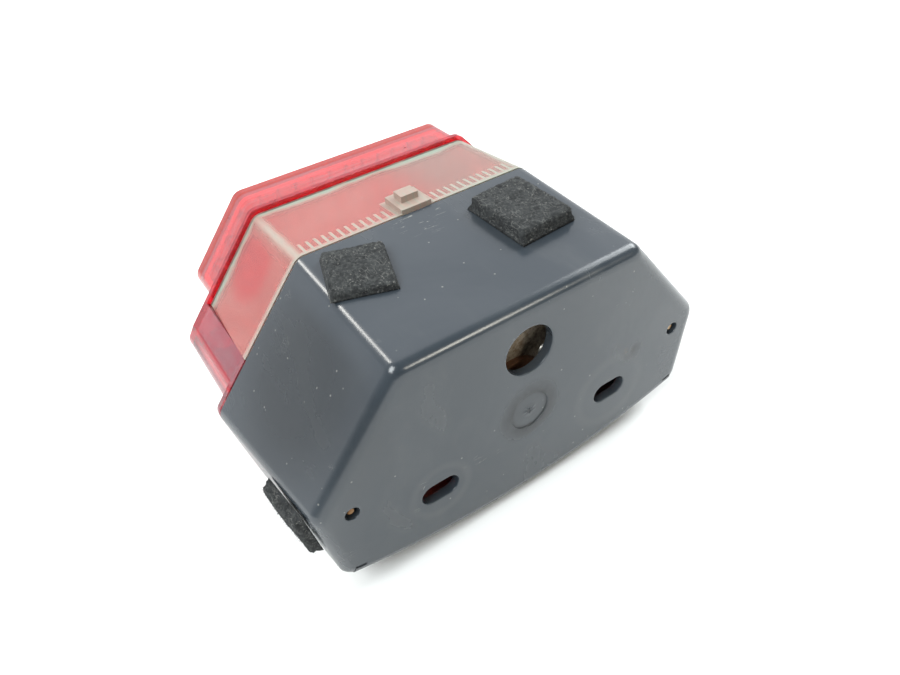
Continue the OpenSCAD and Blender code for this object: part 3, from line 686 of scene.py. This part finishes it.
def pad_shape(bm, half, height, seed, wear):
    """Rounded block on a fine grid, pitted, with its glued face flat and one end pressed thinner by wear.
    Axes: along, across, up."""
    size = np.array([half[0], half[1], height / 2])
    step, radius = 0.42, 1.1
    for axis in range(3):
        u, v = [k for k in range(3) if k != axis]
        nu, nv = (max(4, round(2 * size[k] / step)) for k in (u, v))
        for side in (-1, 1):
            grid = []
            for i in range(nu + 1):
                for j in range(nv + 1):
                    p = np.zeros(3)
                    p[axis] = side * size[axis]
                    p[u], p[v] = size[u] * (2 * i / nu - 1), size[v] * (2 * j / nv - 1)
                    core = np.clip(p, -size + radius, size - radius)
                    away = p - core
                    length = np.linalg.norm(away)
                    if p[2] > -size[2] + radius and length > radius:
                        p = core + away * radius / length
                    grid.append(bm.verts.new(p + [0, 0, size[2]]))
            for i in range(nu):
                for j in range(nv):
                    k = i * (nv + 1) + j
                    bm.faces.new((grid[k], grid[k + 1], grid[k + nv + 2], grid[k + nv + 1]))
    bmesh.ops.remove_doubles(bm, verts=bm.verts, dist=0.02)
    bmesh.ops.recalc_face_normals(bm, faces=bm.faces)
    bm.normal_update()
    moves = []
    for vert in bm.verts:
        p = vert.co
        free = min(1.0, p.z / 0.7)
        pits = noise.fractal(p * 1.5 + Vector((seed, 0, 0)), 0.6, 2.1, 4)
        lumps = noise.noise(p * 0.22 + Vector((0, seed, 0)))
        moves.append(vert.normal * free * (0.17 * pits - 0.16 + 0.3 * min(0, lumps)))
    for vert, move in zip(bm.verts, moves):
        vert.co += move
        # the cut sides lean in a little towards the top, and one end is pressed thinner
        lean = 1 - 0.035 * vert.co.z / height
        vert.co.x *= lean
        vert.co.y *= lean
        end = min(1.0, max(0.0, (vert.co.y / half[1] + 0.4) / 1.4))
        # grown a little, to make up for the pits
        vert.co.z *= 1.1 - wear * end * end
        vert.co.x *= 1.03
        vert.co.y *= 1.03


def add_fibres(bm, count, rng):
    """Loose fibres that stand out of the foam."""
    faces = [f for f in bm.faces if f.calc_center_median().z > 0.8]
    for face in rng.choice(len(faces), count):
        face = faces[face]
        at = face.calc_center_median()
        heading = (Vector(rng.normal(size=3)) * 0.8 + face.normal * 0.5).normalized()
        curl = Vector(rng.normal(size=3)) * 0.5
        length, r = rng.uniform(0.3, 1.0), rng.uniform(0.025, 0.045)
        joints, thirds = 4, (0, 2.09, 4.19)
        rings = []
        for k in range(joints + 1):
            side = heading.orthogonal().normalized()
            other = heading.cross(side)
            taper = 1 - 0.2 * k
            rings.append([bm.verts.new(at + r * taper * (math.cos(a) * side + math.sin(a) * other)) for a in thirds])
            at = at + heading * length / joints
            heading = (heading + curl * 0.35 - face.normal * 0.1).normalized()
        skin(bm, rings)
        bm.faces.new(rings[-1])


def build_pad(node, seed, wear):
    foot, long, short, out = pad_frame(node)
    if abs(long[1]) > abs(short[1]):
        long, short = short, long
    short = short * np.sign(short[1])
    half = (np.linalg.norm(long), np.linalg.norm(short))
    bm = bmesh.new()
    pad_shape(bm, half, np.linalg.norm(out), seed * 7.3, wear)
    add_fibres(bm, FIBRES, np.random.default_rng(seed))
    axes = [Vector(v).normalized() for v in (long, short, out)]
    if axes[0].cross(axes[1]).dot(axes[2]) < 0:
        axes[0] = -axes[0]
    turn = Matrix(axes).transposed().to_4x4()
    bm.transform(Matrix.Translation(Vector(foot)) @ turn)
    pad = from_bmesh(bm, node.replace("foam_pad", "pad"), 180)
    return pad


# Carried-over CAD pieces and their finishes, one for each material slot
CARRIED = {
    "lens_gasket": simple("soft_seal", (0.02, 0.02, 0.02), 0.7),
    "lens_screw_left": simple("rusty_screw", (0.45, 0.33, 0.20), 0.45, 0.8, second=(0.20, 0.09, 0.03)),
    "bulb_plate": simple("rusty_plate_steel", (0.46, 0.39, 0.30), 0.6, 0.2, second=(0.24, 0.17, 0.11),
                         scale=800, bump=0.6),
    "plate_screws": simple("plated_screw", (0.70, 0.68, 0.62), 0.35, 0.9),
    "socket_shell": simple("plated_shell", (0.72, 0.62, 0.38), 0.35, 0.9, second=(0.45, 0.36, 0.2)),
    "socket_insulator": simple("phenolic", (0.20, 0.09, 0.045), 0.5),
    "terminal_tabs": simple("tinned_brass", (0.76, 0.66, 0.42), 0.35, 0.9),
    "contact_springs": simple("spring_steel", (0.62, 0.62, 0.64), 0.3, 1.0),
    "bulb_cap": simple("cap_brass", (0.80, 0.66, 0.36), 0.3, 1.0),
    "cap_insulator": simple("cap_glass_black", (0.03, 0.02, 0.04), 0.15),
    "cap_contacts": simple("solder", (0.66, 0.66, 0.68), 0.45, 1.0),
    "bulb_glass": simple("clear_glass", (0.97, 0.98, 0.98), 0.02, second=(0.95, 0.96, 0.97), bump=0.02,
                         Transmission_Weight=1.0, IOR=1.46),
    "filaments": simple("tungsten", (0.30, 0.30, 0.31), 0.5, 0.9),
}
foam_finish = foam()
for seed, (node, wear) in enumerate((("foam_pad_top_left", 0.55), ("foam_pad_top_right", 0.0),
                                     ("foam_pad_side_left", 0.1), ("foam_pad_side_right", 0.2)), 1):
    dress(build_pad(node, seed, wear), "case", "black_foam", foam_finish, node)
slot_of = {s["node"]: s["material_slot"] for s in frame["record"]["subparts"]}
by_slot = {slot_of[n]: m for n, m in CARRIED.items()}
for node, obj in frame["nodes"].items():
    if not obj.hide_render:
        obj.data.materials.clear()
        obj.data.materials.append(by_slot[slot_of[node]])


# ---- floor, light, camera -----------------------------------------------------------

def build_stage():
    mesh = bpy.data.meshes.new("floor")
    half = 6.0
    mesh.from_pydata([(-half, -half, 0), (half, -half, 0), (half, half, 0), (-half, half, 0)], [], [(0, 1, 2, 3)])
    floor = link(mesh, "floor")
    floor.location.z = FLOOR_Z * MM
    t = Tree("floor_white")
    t.set(Base_Color=(0.92, 0.92, 0.91), Roughness=0.85)
    mesh.materials.append(t.material)


def build_world():
    """A room that is bright behind the lens and dark on the camera's side, with one dark corner past the
    lens's left end, which the case's left face reflects. The camera itself sees an even backdrop."""
    backdrop = 0.85
    world = bpy.data.worlds.new("studio")
    scene.world = world
    world.use_nodes = True
    nodes, links = world.node_tree.nodes, world.node_tree.links
    direction = nodes.new("ShaderNodeTexCoord").outputs["Generated"]

    def ramp(toward, low, high, first, last):
        """Strength that goes from first to last as the direction turns toward an axis."""
        lean = nodes.new("ShaderNodeVectorMath")
        lean.operation = "DOT_PRODUCT"
        lean.inputs[1].default_value = toward
        links.new(direction, lean.inputs[0])
        made = nodes.new("ShaderNodeMapRange")
        made.interpolation_type = "SMOOTHSTEP"
        for key, value in (("From Min", low), ("From Max", high), ("To Min", first), ("To Max", last)):
            made.inputs[key].default_value = value
        links.new(lean.outputs["Value"], made.inputs["Value"])
        return made.outputs[0]

    room = nodes.new("ShaderNodeMath")
    room.operation = "MULTIPLY"
    links.new(ramp((0.0, 1.0, 0.0), -0.38, 0.12, 1.25, 0.03), room.inputs[0])
    links.new(ramp((0.8, 0.0, 0.6), 0.62, 0.86, 1.0, 0.4), room.inputs[1])
    level = nodes.new("ShaderNodeMix")
    links.new(nodes.new("ShaderNodeLightPath").outputs["Is Camera Ray"], level.inputs[0])
    links.new(room.outputs[0], level.inputs[2])
    level.inputs[3].default_value = backdrop
    links.new(level.outputs[0], nodes["Background"].inputs["Strength"])
    nodes["Background"].inputs["Color"].default_value = (0.95, 0.97, 1.0, 1)


def softbox(name, at, target, size, power, colour):
    light = bpy.data.lights.new(name, "AREA")
    light.color = colour
    light.shape = "RECTANGLE"
    light.size, light.size_y = size
    light.energy = power
    obj = bpy.data.objects.new(name, light)
    scene.collection.objects.link(obj)
    obj.location = at
    obj.rotation_euler = (Vector(target) - Vector(at)).to_track_quat("-Z", "Y").to_euler()


def build_lights():
    """Two wide fills for the floor, a strip for the ridge's highlight, and a warm patch for the back edge's."""
    softbox("key", (0.42, -0.87, 1.0), (0, -0.03, 0), (0.17, 0.7), 6.5, (1.0, 0.98, 0.92))
    softbox("fill_left", (1.1, 0.35, 1.3), (0, 0, 0), (0.9, 0.9), 31.5, (0.94, 0.985, 1.0))
    softbox("fill_right", (-1.35, -0.1, 1.1), (0, 0, 0), (0.9, 0.9), 27.5, (0.94, 0.985, 1.0))
    softbox("window", (-0.59, 1.17, 0.72), (0, 0, 0.02), (0.34, 0.34), 5.5, (1.0, 0.96, 0.84))


def build_camera():
    """The photograph's viewpoint, as the camera's place in millimetres and its three axes."""
    place = Vector((67.70255, 82.8949, 124.53893))
    camera = bpy.data.cameras.new("camera")
    camera.sensor_width = 36
    camera.lens = 27.6
    camera.clip_start = 0.01
    obj = bpy.data.objects.new("camera", camera)
    scene.collection.objects.link(obj)
    right = Vector((-0.82533306, 0.55975191, -0.07418308))
    down = Vector((0.41457421, 0.51152771, -0.75264044))
    ahead = Vector((-0.38334522, -0.65193343, -0.65423944))
    turn = Matrix((right, -down, -ahead)).transposed().to_4x4()
    obj.matrix_world = Matrix.Translation(place * MM) @ turn
    scene.camera = obj


build_stage()
build_world()
build_lights()
build_camera()
scene.view_settings.view_transform = "Standard"
